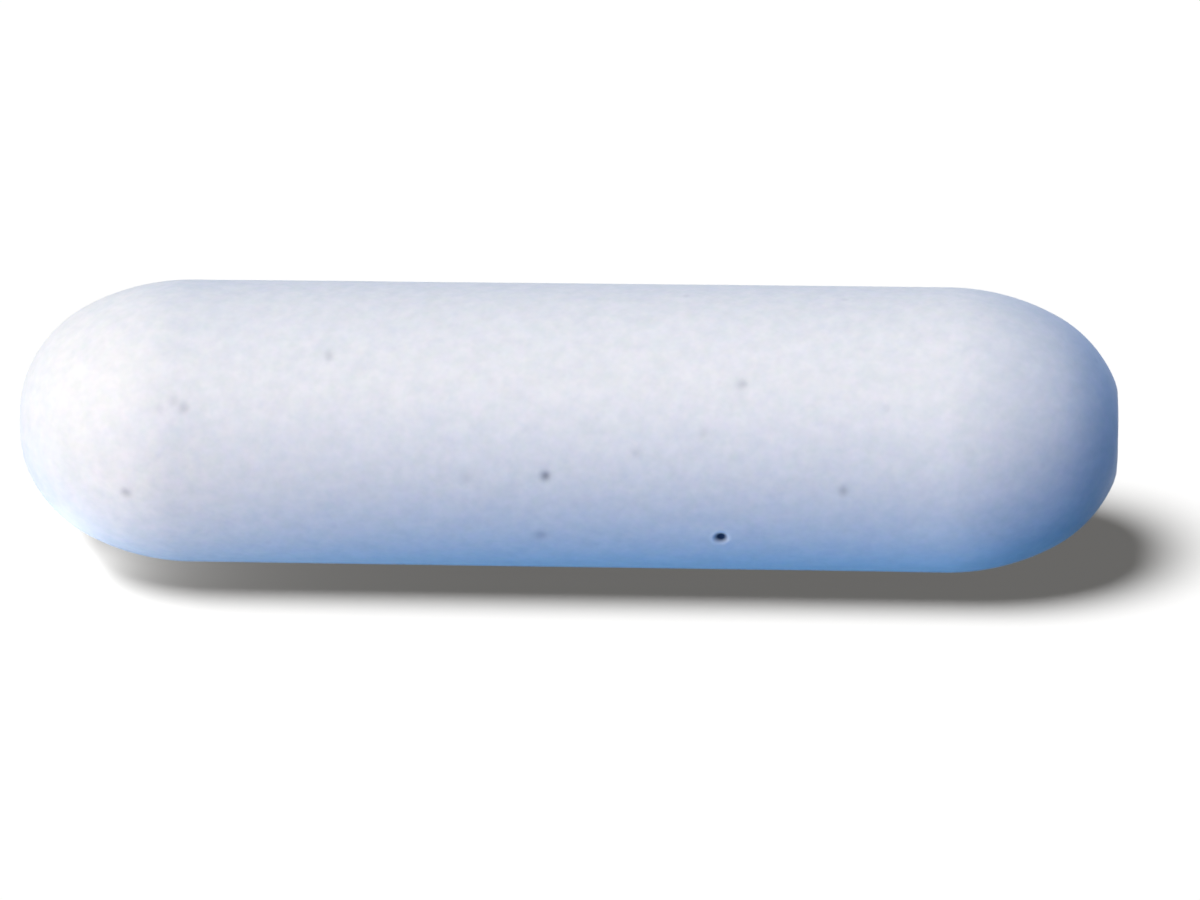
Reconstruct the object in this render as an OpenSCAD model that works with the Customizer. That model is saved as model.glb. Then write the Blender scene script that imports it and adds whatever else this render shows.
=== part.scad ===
// Magnetic stir bar: a round rod magnet sealed in a seamless, dome-ended PTFE jacket.
// X runs along the bar and Z is up, the axis that the bar spins about in a vessel.
// The origin is the middle of the bar. All sizes are in millimetres.

/* [Jacket] */
// Diameter of the straight barrel
barrel_d = 8; // [7:0.1:14]
// Length of the bar, from one end flat to the other
bar_len = 30.8; // [26:0.1:80]
// Radius of the long soft shoulder between barrel and nose
shoulder_r = 6.4; // [6:0.1:20]
// How much less the nose dome's radius is than the barrel's
nose_step = 0.32; // [0.1:0.01:0.6]
// Diameter of the flat left at the tip of each nose
end_flat_d = 2; // [1:0.1:3]
// Rounding between the end flat and the nose dome
flat_edge_r = 1.08; // [0.3:0.01:1.5]

/* [Magnet] */
// Thickness of PTFE round the magnet
side_wall = 1.5; // [0.8:0.1:2]
// Thickness of PTFE between the magnet and each end flat
end_wall = 3.5; // [2.5:0.1:6]
// Clearance between magnet and jacket: none where the PTFE is sintered tight on the magnet
magnet_clearance = 0; // [0:0.01:0.1]
// Chamfer on the magnet's two ground ends
magnet_chamfer = 0.5; // [0.2:0.1:0.8]

/* [Hidden] */
$fn = 128;

barrel_r = barrel_d / 2;
half_len = bar_len / 2;
nose_r = barrel_r - nose_step;
end_flat_r = end_flat_d / 2;

// Places along the bar, from its middle, of the centre of each arc in the end's outline. The
// edge arc touches the end flat, and the nose arc holds it inside. The shoulder arc holds the
// nose arc inside and touches the barrel, so its centre is past the axis. The radii above make
// both right triangles whole-number ones, so these places are short, exact decimals.
edge_centre = half_len - flat_edge_r;
nose_centre = edge_centre - sqrt(pow(nose_r - flat_edge_r, 2) - pow(end_flat_r, 2));
shoulder_centre = nose_centre - sqrt(pow(shoulder_r - nose_r, 2) - pow(shoulder_r - barrel_r, 2));

// Places along the bar where one arc runs smoothly into the next, on the line of centres.
edge_start = nose_centre + (edge_centre - nose_centre) * nose_r / (nose_r - flat_edge_r);
nose_start = nose_centre + (nose_centre - shoulder_centre) * nose_r / (shoulder_r - nose_r);

magnet_r = barrel_r - side_wall - magnet_clearance;
magnet_half_len = half_len - end_wall - magnet_clearance;

// Here and below, the drawn X is the distance from the axis and the drawn Y the distance along
// the bar. A band fills the space between two places along the bar, out from the axis.
module band(out, from, to) {
    polygon([[0, from], [out, from], [out, to], [0, to]]);
}

// The part of a circle between two places along the bar, on one side of the axis.
module arc_slice(radius, centre_out, centre_along, from, to) {
    intersection() {
        translate([centre_out, centre_along]) circle(radius);
        band(barrel_d, from, to);
    }
}

// Outline of one end, past the barrel: shoulder, nose dome, and the rounded edge of the flat.
module end_outline() {
    arc_slice(shoulder_r, barrel_r - shoulder_r, shoulder_centre, shoulder_centre, nose_start);
    arc_slice(nose_r, 0, nose_centre, nose_start, edge_start);
    arc_slice(flat_edge_r, end_flat_r, edge_centre, edge_start, bar_len);
    band(end_flat_r, edge_start, half_len);
}

// Outline of the whole bar, on one side of its axis.
module bar_outline() {
    band(barrel_r, -shoulder_centre, shoulder_centre);
    end_outline();
    mirror([0, 1]) end_outline();
}

// Outline of the rod magnet with its chamfers, on one side of its axis, grown by a clearance.
module rod_outline(clearance) {
    side = magnet_r + clearance;
    end = magnet_half_len + clearance;
    face = side - magnet_chamfer;
    side_end = end - magnet_chamfer;
    polygon([[0, -end], [face, -end], [side, -side_end], [side, side_end], [face, end], [0, end]]);
}

// Turns an outline round the X axis.
module turned() {
    rotate([0, 90, 0]) rotate_extrude() children();
}

// Moulded and sintered in one piece round the magnet, with no seam.
module jacket() {
    color([0.93, 0.94, 0.96]) difference() {
        turned() bar_outline();
        turned() rod_outline(magnet_clearance);
    }
}

// Cast alloy rod, ground round, magnetised along its length.
module magnet() {
    color([0.36, 0.36, 0.37]) turned() rod_outline(0);
}

jacket();
magnet();
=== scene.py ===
# Looks of the magnetic stir bar: a seamless white PTFE jacket with its pits and dark specks, the
# magnet sealed in it, a pale floor, soft studio light and the camera. Lengths are in metres.

import math

import bpy
import numpy as np
from mathutils import Matrix, Vector


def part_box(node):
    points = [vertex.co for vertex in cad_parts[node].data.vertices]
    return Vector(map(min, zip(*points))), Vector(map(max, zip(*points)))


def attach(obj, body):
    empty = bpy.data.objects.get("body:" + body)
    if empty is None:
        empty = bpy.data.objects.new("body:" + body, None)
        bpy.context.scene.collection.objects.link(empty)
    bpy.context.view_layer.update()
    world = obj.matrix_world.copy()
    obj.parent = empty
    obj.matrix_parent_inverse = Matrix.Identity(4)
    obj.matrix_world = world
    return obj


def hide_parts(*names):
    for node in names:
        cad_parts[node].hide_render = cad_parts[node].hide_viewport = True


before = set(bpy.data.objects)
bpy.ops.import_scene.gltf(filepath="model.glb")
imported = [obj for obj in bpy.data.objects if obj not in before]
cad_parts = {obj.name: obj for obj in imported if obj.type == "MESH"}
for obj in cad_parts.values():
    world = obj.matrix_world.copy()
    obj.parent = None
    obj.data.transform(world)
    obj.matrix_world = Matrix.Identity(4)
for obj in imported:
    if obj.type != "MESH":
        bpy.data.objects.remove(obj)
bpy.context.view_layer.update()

MM = 0.001

# ---------------------------------------------------------------------------- sizes

jacket_low, jacket_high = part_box("jacket")
magnet_low, magnet_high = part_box("magnet")

HALF_LEN = jacket_high.x
BARREL_R = min(jacket_high.y, jacket_high.z)
FLOOR_Z = jacket_low.z
MAGNET_HALF = magnet_high.x
MAGNET_R = max(magnet_high.y, magnet_high.z)

# The end's outline, as in the part: a small flat, its rounded edge, the nose and the shoulder.
END_FLAT_R = 1.0 * MM
FLAT_EDGE_R = 1.08 * MM
NOSE_R = BARREL_R - 0.32 * MM
SHOULDER_R = 6.4 * MM
MAGNET_CHAMFER = 0.5 * MM

EDGE_CENTRE = HALF_LEN - FLAT_EDGE_R
NOSE_CENTRE = EDGE_CENTRE - math.sqrt((NOSE_R - FLAT_EDGE_R) ** 2 - END_FLAT_R**2)
SHOULDER_CENTRE = NOSE_CENTRE - math.sqrt((SHOULDER_R - NOSE_R) ** 2 - (SHOULDER_R - BARREL_R) ** 2)

# The way that the outline faces, measured from the bar's axis, where one arc runs into the next.
EDGE_TO_NOSE = math.atan2(END_FLAT_R, EDGE_CENTRE - NOSE_CENTRE)
NOSE_TO_SHOULDER = math.atan2(SHOULDER_R - BARREL_R, NOSE_CENTRE - SHOULDER_CENTRE)

# Distances along the outline, from the middle of the tip, where each stretch starts.
EDGE_START = END_FLAT_R
NOSE_START = EDGE_START + FLAT_EDGE_R * EDGE_TO_NOSE
SHOULDER_START = NOSE_START + NOSE_R * (NOSE_TO_SHOULDER - EDGE_TO_NOSE)
BARREL_START = SHOULDER_START + SHOULDER_R * (math.pi / 2 - NOSE_TO_SHOULDER)
OUTLINE_HALF = BARREL_START + SHOULDER_CENTRE

# Marks in the PTFE: (mm along the bar, degrees above level on the near side, length mm, width mm,
# tilt degrees, depth mm, darkness). The shallow ones are dark specks in the powder. The deepest is
# a pit where a piece of grit has come out, and a darkness above 1 makes its floor evenly dark:
# painted shade in the pit.
MARKS = [
    (4.50, -26.2, 0.22, 0.26, -18.0, 0.085, 1.6),
    (-0.26, 3.2, 0.22, 0.24, 0.0, 0.020, 0.56),
    (-11.96, -7.8, 0.24, 0.22, -15.0, 0.016, 0.30),
    (5.10, 41.0, 0.25, 0.22, -5.0, 0.010, 0.24),
    (7.89, -1.4, 0.21, 0.26, 0.0, 0.010, 0.30),
    (-6.31, 51.3, 0.20, 0.28, 10.0, 0.008, 0.22),
    (-10.26, 28.7, 0.26, 0.24, -37.0, 0.008, 0.19),
    (-10.54, 31.4, 0.24, 0.22, -37.0, 0.006, 0.13),
    (-10.95, 28.0, 0.22, 0.20, 0.0, 0.005, 0.09),
    (-0.48, -26.0, 0.26, 0.30, 0.0, 0.010, 0.22),
    (4.04, 21.5, 0.22, 0.25, 0.0, 0.005, 0.11),
    (2.22, 13.0, 0.24, 0.22, 20.0, 0.006, 0.12),
    (-2.45, 1.7, 0.24, 0.24, -10.0, 0.005, 0.13),
]

# A mark's profile, in half-widths out from its middle: how wide its bell is, and where its rim
# stands and how wide that is. The rim's height is a share of the depth, and it is pale only on
# marks more than PALE_DEPTH mm deep: a painted highlight, a paler colour where light catches the rim.
BELL_WIDE = 1.25
RIM_OUT = 2.2
RIM_WIDE = 0.5
RIM_HIGH = 0.15
PALE_DEPTH = 0.05

# Steps of the fine lines that places are read from.
FINE = 20001


# ---------------------------------------------------------------------------- shapes


def outline(distance):
    """Distance from the axis and distance along the bar of each point of the bar's outline, and
    the way it faces there. The outline is measured from the middle of the tip at -X. Each stretch
    of it is a line or an arc, so a point is its arc's centre plus the radius times the cosine and
    sine of the angle that it faces, which grows evenly along the arc."""
    from_tip = np.minimum(distance, 2 * OUTLINE_HALF - distance)
    side = np.where(distance < OUTLINE_HALF, -1.0, 1.0)
    on = [
        from_tip < EDGE_START,
        from_tip < NOSE_START,
        from_tip < SHOULDER_START,
        from_tip < BARREL_START,
    ]
    facing = np.select(
        on,
        [
            np.zeros_like(from_tip),
            (from_tip - EDGE_START) / FLAT_EDGE_R,
            EDGE_TO_NOSE + (from_tip - NOSE_START) / NOSE_R,
            NOSE_TO_SHOULDER + (from_tip - SHOULDER_START) / SHOULDER_R,
        ],
        math.pi / 2,
    )
    along = np.select(
        on,
        [
            np.full_like(from_tip, HALF_LEN),
            EDGE_CENTRE + FLAT_EDGE_R * np.cos(facing),
            NOSE_CENTRE + NOSE_R * np.cos(facing),
            SHOULDER_CENTRE + SHOULDER_R * np.cos(facing),
        ],
        SHOULDER_CENTRE - (from_tip - BARREL_START),
    )
    out = np.select(
        on,
        [
            from_tip,
            END_FLAT_R + FLAT_EDGE_R * np.sin(facing),
            NOSE_R * np.sin(facing),
            BARREL_R - SHOULDER_R + SHOULDER_R * np.sin(facing),
        ],
        BARREL_R,
    )
    return out, side * along, facing, side


def crowded(length, count, centres, spread, extra, closed):
    """Places of count grid lines over a length. They are evenly spread but for a bell-shaped rise
    in their number round each centre: the places are where the running total of the density
    passes even steps."""
    fine = np.linspace(0.0, length, FINE)
    gaps = fine[:, None] - np.asarray(centres)[None, :]
    if closed:
        gaps = (gaps + length / 2) % length - length / 2
    density = 1.0 / length + extra * np.exp(-((gaps / spread) ** 2)).sum(1)
    total = np.concatenate([[0.0], np.cumsum((density[1:] + density[:-1]) / 2)])
    steps = np.linspace(0.0, total[-1], count + 1)
    return np.interp(steps[:-1] if closed else steps, total, fine)


def outline_distance(along):
    """Distance along the outline of the place that lies at a distance along the bar."""
    fine = np.linspace(0.0, 2 * OUTLINE_HALF, FINE)
    return np.interp(along, outline(fine)[1], fine)


def closed_grid(rows, ends):
    """Points and faces of a closed tube, from its rows of points, an array of (rows, points round,
    xyz), and a single point for each end. Neighbouring rows are joined by four-sided faces, and
    the first and last rows by triangles to the end points. The faces look away from the axis when
    the rows run towards +X, and at the axis when they run towards -X."""
    count, around = rows.shape[:2]
    points = np.concatenate([rows.reshape(-1, 3), np.asarray(ends)])
    here = np.arange(around)
    after = (here + 1) % around
    base = (np.arange(count - 1) * around)[:, None]
    quads = np.stack([base + here, base + around + here, base + around + after, base + after], 2)
    first = np.stack([np.full(around, count * around), here, after], 1)
    top = (count - 1) * around
    last = np.stack([np.full(around, count * around + 1), top + after, top + here], 1)
    return points, quads.reshape(-1, 4).tolist() + first.tolist() + last.tolist()


def ring_points(along, out, turn):
    """Points at a distance along the bar and out from its axis, turned up from the near side."""
    return np.stack([along, -out * np.cos(turn), out * np.sin(turn)], -1)


# ---------------------------------------------------------------------------- jacket

# Grid lines along and round the skin, and how they crowd round each mark so that it has enough
# faces: how far the crowding reaches, and how many more of the lines, as a share of all, a metre or
# a radian takes at its middle.
ROWS = 300
AROUND = 250
CROWD_ALONG = 0.22 * MM
CROWD_ALONG_MORE = 0.2 / MM
CROWD_TURN = 0.05
CROWD_TURN_MORE = 0.9

# Half the height of the skin's long soft waves.
WAVE = 0.006 * MM


def mark_field(along_outline, turn, out):
    """Depth, darkness and pale rim of the marks at each grid point. The darkness is that of dark
    specks, and painted shade in the deepest pit; the pale rim is a painted highlight. Each mark is an
    ellipse on the surface: q is 0 at its middle and 1 on its edge. Its depth and darkness fall away
    as a bell of q, and a low rim, which is a bell round q = RIM_OUT, stands round it."""
    depth = np.zeros_like(out)
    dark = np.zeros_like(out)
    rim = np.zeros_like(out)
    for along, above, length, width, tilt, deep, darkness in MARKS:
        centre = outline_distance(along * MM)
        du = along_outline - centre
        dv = ((turn - math.radians(above) + math.pi) % (2 * math.pi) - math.pi) * out
        c, s = math.cos(math.radians(tilt)), math.sin(math.radians(tilt))
        a = (du * c + dv * s) / (length * MM / 2)
        b = (dv * c - du * s) / (width * MM / 2)
        q = np.sqrt(a * a + b * b)
        bell = np.exp(-((q / BELL_WIDE) ** 2))
        ring = np.exp(-(((q - RIM_OUT) / RIM_WIDE) ** 2))
        depth += deep * MM * (bell - RIM_HIGH * ring)
        dark = np.maximum(dark, np.minimum(darkness * bell, 1.0))
        rim = np.maximum(rim, ring * (deep > PALE_DEPTH))
    return depth, dark, rim


def waviness(along, turn):
    """How much less than true the skin is, in long soft waves that moulding and sintering leave: a
    mean of cosines along the bar and round it, raised and scaled to lie between 0 and 2 WAVE."""
    waves = [(1, 2, 0.4), (2, 3, 1.9), (3, 1, 4.1), (5, 4, 2.6), (4, 5, 5.3)]
    total = sum(
        np.cos(n * math.pi * along / HALF_LEN + m * turn + phase) / len(waves)
        for n, m, phase in waves
    )
    return WAVE * (total + 1.0)


def space_wall(turns):
    """Wall of the sealed space: the magnet's own outline turned round the X axis. Its rows run
    towards -X, so that its faces look at the magnet."""
    face_r = MAGNET_R - MAGNET_CHAMFER
    side_end = MAGNET_HALF - MAGNET_CHAMFER
    places = [MAGNET_HALF, side_end, -side_end, -MAGNET_HALF]
    along, turn = np.meshgrid(places, turns, indexing="ij")
    out = np.array([[face_r], [MAGNET_R], [MAGNET_R], [face_r]])
    return closed_grid(ring_points(along, out, turn), [(MAGNET_HALF, 0.0, 0.0), (-MAGNET_HALF, 0.0, 0.0)])


def make_jacket():
    """Outer skin: the outline turned round the X axis, pushed in along the way it faces by the
    waviness and the marks. Inner skin: the wall of the sealed space. The mesh also carries how dark
    each point is, for the dark specks and the painted shade in the deepest pit, and how much painted
    highlight of a pale rim it has, as two attributes."""
    mark_rows = [outline_distance(m[0] * MM) for m in MARKS]
    mark_turns = [math.radians(m[1]) % (2 * math.pi) for m in MARKS]
    rows = crowded(2 * OUTLINE_HALF, ROWS, mark_rows, CROWD_ALONG, CROWD_ALONG_MORE, False)[1:-1]
    turns = crowded(2 * math.pi, AROUND, mark_turns, CROWD_TURN, CROWD_TURN_MORE, True)
    distance, turn = np.meshgrid(rows, turns, indexing="ij")
    out, along, facing, side = outline(distance)
    depth, dark, rim = mark_field(distance, turn, out)
    push = depth + waviness(along, turn)
    skin = ring_points(along - side * push * np.cos(facing), out - push * np.sin(facing), turn)
    points, faces = closed_grid(skin, [(-HALF_LEN, 0.0, 0.0), (HALF_LEN, 0.0, 0.0)])

    wall_points, wall_faces = space_wall(turns)

    mesh = bpy.data.meshes.new("jacket_skin")
    shifted = [[corner + len(points) for corner in face] for face in wall_faces]
    mesh.from_pydata(np.concatenate([points, wall_points]).tolist(), [], faces + shifted)
    smooth = np.concatenate([np.ones(len(faces), bool), np.zeros(len(wall_faces), bool)])
    mesh.polygons.foreach_set("use_smooth", smooth)
    mesh.update()
    for name, field in (("dirt", dark), ("rim", rim)):
        values = np.zeros(len(mesh.vertices), np.float32)
        values[: field.size] = field.ravel()
        mesh.attributes.new(name, "FLOAT", "POINT").data.foreach_set("value", values)
    return mesh


def new_piece(name, mesh):
    """Object that holds a mesh, at the origin, on the part's one body."""
    piece = bpy.data.objects.new(name, mesh)
    bpy.context.scene.collection.objects.link(piece)
    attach(piece, "root")
    return piece


# ---------------------------------------------------------------------------- materials


def colour(code):
    """Linear colour of an sRGB hex code."""
    parts = [int(code[i : i + 2], 16) / 255 for i in (1, 3, 5)]
    linear = [p / 12.92 if p <= 0.04045 else ((p + 0.055) / 1.055) ** 2.4 for p in parts]
    return (*linear, 1.0)


def add(tree, kind, inputs=None, **settings):
    """Adds a node with its settings, by property name, and its inputs, by socket name or number.
    An input given as a (node, output) pair is linked, and any other is set."""
    node = tree.nodes.new(kind)
    for name, value in settings.items():
        setattr(node, name, value)
    for socket, value in (inputs or {}).items():
        if isinstance(value, tuple) and isinstance(value[0], bpy.types.Node):
            tree.links.new(value[0].outputs[value[1]], node.inputs[socket])
        else:
            node.inputs[socket].default_value = value
    return node


def new_material(name):
    """An empty node material and its tree."""
    material = bpy.data.materials.new(name)
    material.use_nodes = True
    material.node_tree.nodes.clear()
    return material, material.node_tree


def sintered_ptfe():
    """PTFE powder pressed and sintered to a dense, waxy, slightly translucent white. It reflects
    little (its IOR is the lowest of the solid plastics) and in a wide soft sheen, and its fine
    mottle and the odd dark speck of grit are in the powder."""
    material, tree = new_material("sintered_ptfe")
    place = add(tree, "ShaderNodeTexCoord")
    # Mottle of the pressed powder, in lumps of a tenth to half a millimetre.
    mottle = add(
        tree,
        "ShaderNodeTexNoise",
        {"Vector": (place, "Object"), "Scale": 1 / (0.5 * MM), "Detail": 2.0, "Roughness": 0.75},
    )
    level = add(
        tree,
        "ShaderNodeMapRange",
        {"Value": (mottle, "Fac"), "From Min": 0.3, "From Max": 0.7},
    )
    white = add(
        tree,
        "ShaderNodeMix",
        {"Factor": (level, 0), 6: colour("#ecedef"), 7: colour("#f4f5f7")},
        data_type="RGBA",
    )
    # The lumps also differ by a trace in hue.
    tinted = add(
        tree,
        "ShaderNodeVectorMath",
        {0: (mottle, "Color"), 1: (0.07, 0.07, 0.07), 2: (-0.035, -0.035, -0.035)},
        operation="MULTIPLY_ADD",
    )
    clean = add(
        tree,
        "ShaderNodeVectorMath",
        {0: (white, 2), 1: (tinted, 0)},
        operation="ADD",
    )
    # Faint specks about 0.2 mm across, one to each cell of about 1.4 mm, at the middle of the cell.
    # Most cells' middles are deep inside, and each speck has a darkness of its own.
    cells = add(
        tree,
        "ShaderNodeTexVoronoi",
        {"Vector": (place, "Object"), "Scale": 1 / (1.4 * MM)},
    )
    fade = add(
        tree,
        "ShaderNodeMapRange",
        {"Value": (cells, "Distance"), "From Min": 0.04, "From Max": 0.10, "To Min": 0.10, "To Max": 0.0},
    )
    speck = add(
        tree,
        "ShaderNodeMath",
        {0: (fade, 0), 1: (cells, "Color")},
        operation="MULTIPLY",
    )
    # Darkness of the marks, and their colour below: dark specks in the powder, and painted shade on the
    # floor of the deepest pit.
    dirt = add(tree, "ShaderNodeAttribute", attribute_name="dirt")
    dark_specks_and_pit_shade = add(
        tree,
        "ShaderNodeMath",
        {0: (speck, 0), 1: (dirt, "Fac")},
        operation="MAXIMUM",
    )
    with_specks_and_pit_shade = add(
        tree,
        "ShaderNodeMix",
        {"Factor": (dark_specks_and_pit_shade, 0), 6: (clean, 0), 7: colour("#273b58")},
        data_type="RGBA",
    )
    # Pale rim round the deep pit: a painted highlight where light catches the raised rim.
    rim = add(tree, "ShaderNodeAttribute", attribute_name="rim")
    with_rim_highlight = add(
        tree,
        "ShaderNodeMix",
        {"Factor": (rim, "Fac"), 6: (with_specks_and_pit_shade, 2), 7: colour("#fdfdfe")},
        data_type="RGBA",
    )
    # Grit and the pit's torn floor are too rough to have a sheen.
    rough = add(
        tree,
        "ShaderNodeMapRange",
        {"Value": (dark_specks_and_pit_shade, 0), "To Min": 0.45, "To Max": 1.0},
    )
    # The pressed lumps stand out of the skin by a micrometre or two.
    bump = add(
        tree,
        "ShaderNodeBump",
        {"Height": (mottle, "Fac"), "Strength": 0.5, "Distance": 0.012 * MM},
    )
    surface = add(
        tree,
        "ShaderNodeBsdfPrincipled",
        {
            "Base Color": (with_rim_highlight, 2),
            "Roughness": (rough, 0),
            "IOR": 1.35,
            "Subsurface Weight": 0.3,
            "Subsurface Radius": (0.8, 0.8, 0.8),
            "Subsurface Scale": 1.0 * MM,
            "Normal": (bump, 0),
        },
    )
    add(tree, "ShaderNodeOutputMaterial", {"Surface": (surface, 0)})
    return material


def ground_alnico():
    """Alnico alloy cast and ground round: a hard dark grey metal with fine rings round the rod
    from the grinding wheel and a little of the coarse casting grain."""
    material, tree = new_material("ground_alnico")
    place = add(tree, "ShaderNodeTexCoord")
    rings = add(
        tree,
        "ShaderNodeMapping",
        {"Vector": (place, "Object"), "Scale": (1 / (0.08 * MM), 40.0, 40.0)},
    )
    scratches = add(tree, "ShaderNodeTexNoise", {"Vector": (rings, 0), "Scale": 1.0, "Detail": 2.0})
    grain = add(
        tree,
        "ShaderNodeTexVoronoi",
        {"Vector": (place, "Object"), "Scale": 1 / (0.8 * MM)},
    )
    tone = add(
        tree,
        "ShaderNodeMix",
        {"Factor": (grain, "Color"), 6: colour("#8b8b8d"), 7: colour("#97979a")},
        data_type="RGBA",
    )
    rough = add(
        tree,
        "ShaderNodeMapRange",
        {"Value": (scratches, "Fac"), "To Min": 0.32, "To Max": 0.5},
    )
    bump = add(
        tree,
        "ShaderNodeBump",
        {"Height": (scratches, "Fac"), "Strength": 0.3, "Distance": 0.004 * MM},
    )
    surface = add(
        tree,
        "ShaderNodeBsdfPrincipled",
        {
            "Base Color": (tone, 2),
            "Metallic": 1.0,
            "Roughness": (rough, 0),
            "Normal": (bump, 0),
        },
    )
    add(tree, "ShaderNodeOutputMaterial", {"Surface": (surface, 0)})
    return material


def seen_or_mirrored(tree):
    """1 for a ray from the camera, in a reflection or through glass, and 0 for any other."""
    path = add(tree, "ShaderNodeLightPath")
    first = add(
        tree,
        "ShaderNodeMath",
        {0: (path, "Is Camera Ray"), 1: (path, "Is Glossy Ray")},
        operation="MAXIMUM",
    )
    return add(
        tree,
        "ShaderNodeMath",
        {0: (first, 0), 1: (path, "Is Transmission Ray")},
        operation="MAXIMUM",
    )


# Light that the paper lets through, a trace warm, which is all that there is in full shadow.
FLOOR_GLOW = 0.137
GLOW_COLOUR = "#fffdf9"


def studio_floor():
    """Smooth matt paper sweep, lit a little from behind. It looks white, with the bar's shadow on
    it, and sends no light back up to the bar, which has a lamp of its own for that."""
    material, tree = new_material("paper_sweep")
    seen = seen_or_mirrored(tree)
    white = add(tree, "ShaderNodeBsdfDiffuse", {"Color": colour("#ffffff")})
    glow = add(tree, "ShaderNodeEmission", {"Color": colour(GLOW_COLOUR), "Strength": FLOOR_GLOW})
    lit = add(tree, "ShaderNodeAddShader", {0: (white, 0), 1: (glow, 0)})
    black = add(tree, "ShaderNodeBsdfDiffuse", {"Color": colour("#000000")})
    both = add(tree, "ShaderNodeMixShader", {0: (seen, 0), 1: (black, 0), 2: (lit, 0)})
    add(tree, "ShaderNodeOutputMaterial", {"Surface": (both, 0)})
    return material


# ---------------------------------------------------------------------------- stage

FLOOR_HALF = 0.6


def make_floor():
    """Flat square floor that the bar lies on."""
    corners = [(x * FLOOR_HALF, y * FLOOR_HALF, FLOOR_Z) for x, y in ((-1, -1), (1, -1), (1, 1), (-1, 1))]
    mesh = bpy.data.meshes.new("floor")
    mesh.from_pydata(corners, [], [(0, 1, 2, 3)])
    mesh.materials.append(studio_floor())
    floor = bpy.data.objects.new("floor", mesh)
    bpy.context.scene.collection.objects.link(floor)
    return floor


def make_world():
    """Surroundings: white where they are seen, and dark otherwise, so that the lamps do the rest."""
    world = bpy.data.worlds.new("studio")
    bpy.context.scene.world = world
    world.use_nodes = True
    tree = world.node_tree
    tree.nodes.clear()
    seen = seen_or_mirrored(tree)
    room = add(tree, "ShaderNodeBackground", {"Strength": 0.0})
    white = add(tree, "ShaderNodeBackground", {"Color": colour("#ffffff"), "Strength": 1.0})
    both = add(tree, "ShaderNodeMixShader", {0: (seen, 0), 1: (room, 0), 2: (white, 0)})
    add(tree, "ShaderNodeOutputWorld", {"Surface": (both, 0)})


def toward(azimuth, elevation):
    """Unit vector at an azimuth from -Y, the near side, towards +X, and an elevation, in degrees."""
    a, e = math.radians(azimuth), math.radians(elevation)
    return Vector((math.sin(a) * math.cos(e), -math.cos(a) * math.cos(e), math.sin(e)))


# Camera: a long lens a hand's length away, looking down at the near side of the bar, with the
# end at +X a little nearer. The bar is a little left of the frame's middle and above it.
LENS = 150.0
CAMERA_AZIMUTH = 5.0
CAMERA_ELEVATION = 24.0
CAMERA_ROLL = -1.3
CAMERA_DISTANCE = 140.7 * MM
AIM_RIGHT = 0.91 * MM
AIM_UP = -0.7 * MM


def make_camera():
    """Camera that looks at the point beside the bar's middle that is the frame's middle."""
    back = toward(CAMERA_AZIMUTH, CAMERA_ELEVATION)
    level = Vector((0.0, 0.0, 1.0)).cross(back).normalized()
    upright = back.cross(level)
    roll = math.radians(CAMERA_ROLL)
    right = math.cos(roll) * level + math.sin(roll) * upright
    up = math.cos(roll) * upright - math.sin(roll) * level
    data = bpy.data.cameras.new("camera")
    data.lens = LENS
    data.sensor_width = 36.0
    data.clip_start = 0.01
    data.clip_end = 10.0
    camera = bpy.data.objects.new("camera", data)
    bpy.context.scene.collection.objects.link(camera)
    place = AIM_RIGHT * right + AIM_UP * up + CAMERA_DISTANCE * back
    camera.matrix_world = Matrix.Translation(place) @ Matrix((right, up, back)).transposed().to_4x4()
    bpy.context.scene.camera = camera


# Soft lamps far off: (name, azimuth, elevation, how wide it looks in degrees, strength, colour,
# what it lights). Those on the bar are kept off the floor, so the shadow is that of one lamp.
FAR_LAMPS = [
    ("key", -50.0, 42.0, 60.0, 3.33, "#ffe9ac", "bar"),
    ("front_card", -30.0, 15.0, 40.0, 0.86, "#3b90ff", "bar"),
    ("ceiling", 0.0, 90.0, 180.0, 1.4, "#0099ff", "bar"),
    ("paper", -90.0, -60.0, 90.0, 1.72, "#74bdff", "bar"),
    ("back_card", 185.0, -22.0, 5.0, 1.92, "#fff2cf", "bar"),
    ("sweep_lamp", -66.0, 67.5, 29.0, 3.0, "#ffffff", "floor"),
]

# The back card gives no sheen, which would be a bright line along the bar's lower edge.
NO_SHEEN = ["back_card"]

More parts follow.
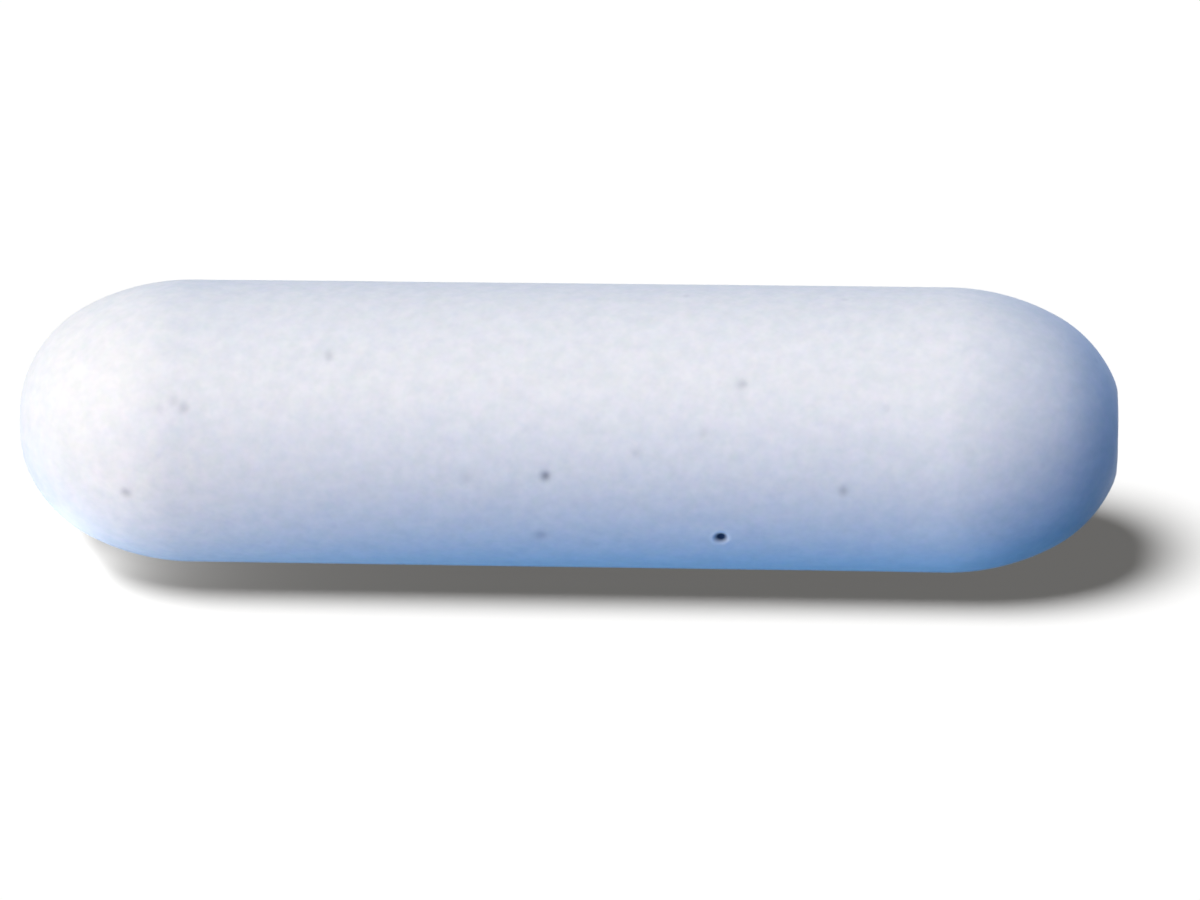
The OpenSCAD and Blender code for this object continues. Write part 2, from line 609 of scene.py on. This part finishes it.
# Small lamps close by: (name, mm along, mm to the back, mm up from the axis, radius mm, watts,
# colour, what it lights). The last one trims the shadow's end at the lit end of the bar.
NEAR_LAMPS = [
    ("end_lamp", -16.0, -10.0, -5.0, 4.0, 1.1e-3, "#ffde9d", "bar"),
    ("shadow_fill", -15.4, -1.7, -2.3, 0.5, 3.9e-4, "#ffffff", "floor"),
]


def hang(name, kind, strength, code, lights, shades):
    """A lamp that lights one group of things, with only the things of another group in its way."""
    data = bpy.data.lights.new(name, kind)
    data.energy = strength
    data.color = colour(code)[:3]
    lamp = bpy.data.objects.new(name, data)
    bpy.context.scene.collection.objects.link(lamp)
    lamp.light_linking.receiver_collection = lights
    lamp.light_linking.blocker_collection = shades
    return lamp


def make_lamps(groups):
    """The far lamps, which only the bar comes in the way of, and the near ones. A near lamp shines
    on its own group alone, with nothing else in its way."""
    for name, azimuth, elevation, width, strength, code, lights in FAR_LAMPS:
        lamp = hang(name, "SUN", strength, code, groups[lights], groups["bar"])
        lamp.data.angle = math.radians(width)
        lamp.rotation_mode = "QUATERNION"
        lamp.rotation_quaternion = toward(azimuth, elevation).to_track_quat("Z", "Y")
        lamp.visible_glossy = name not in NO_SHEEN
    for name, along, back, up, radius, watts, code, lights in NEAR_LAMPS:
        lamp = hang(name, "POINT", watts, code, groups[lights], groups[lights])
        lamp.data.shadow_soft_size = radius * MM
        lamp.location = Vector((along, back, up)) * MM
        lamp.visible_camera = False


def group(name, things):
    """A collection of things that some lamps light."""
    collection = bpy.data.collections.new(name)
    for thing in things:
        collection.objects.link(thing)
    return collection


# ---------------------------------------------------------------------------- build

jacket = new_piece("jacket_ptfe", make_jacket())
jacket.data.materials.append(sintered_ptfe())
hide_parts("jacket")

# None of the bar's light goes back to the floor, so its shadow stays neutral.
jacket.visible_diffuse = False

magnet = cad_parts["magnet"]
magnet.data.materials.clear()
magnet.data.materials.append(ground_alnico())

floor = make_floor()
make_world()
make_camera()
make_lamps({"bar": group("lit_bar", [jacket, magnet]), "floor": group("lit_floor", [floor])})
bpy.context.scene.view_settings.view_transform = "Standard"
